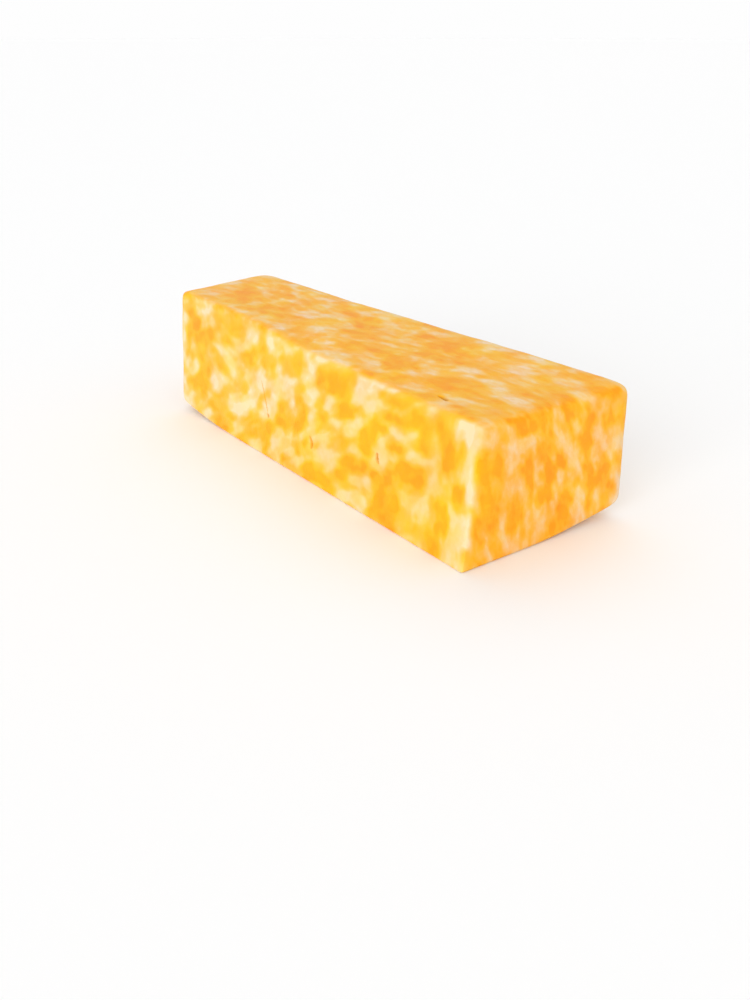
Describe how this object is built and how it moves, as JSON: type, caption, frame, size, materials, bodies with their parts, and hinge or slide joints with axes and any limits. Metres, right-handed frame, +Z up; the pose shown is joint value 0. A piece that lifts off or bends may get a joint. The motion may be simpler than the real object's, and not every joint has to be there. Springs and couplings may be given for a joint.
{
  "type": "marbled cheese bar",
  "caption": "Cut bar of orange and cream marbled cheese: a long brick, tapered in plan, with softly rounded edges and a flat base to rest on.",
  "frame": {"origin": "on the resting plane, under the middle of the bar's box", "axes": "+X along the bar towards its wide end, +Y from the long front cut face to the back, +Z up"},
  "size_m": [0.178, 0.0636, 0.0475],
  "materials": {
    "marbled_cheese": "soft waxy sheen, orange curds marbled with cream ones"
  },
  "bodies": {
    "root": {"cheese_bar": "marbled_cheese"}
  },
  "joints": []
}
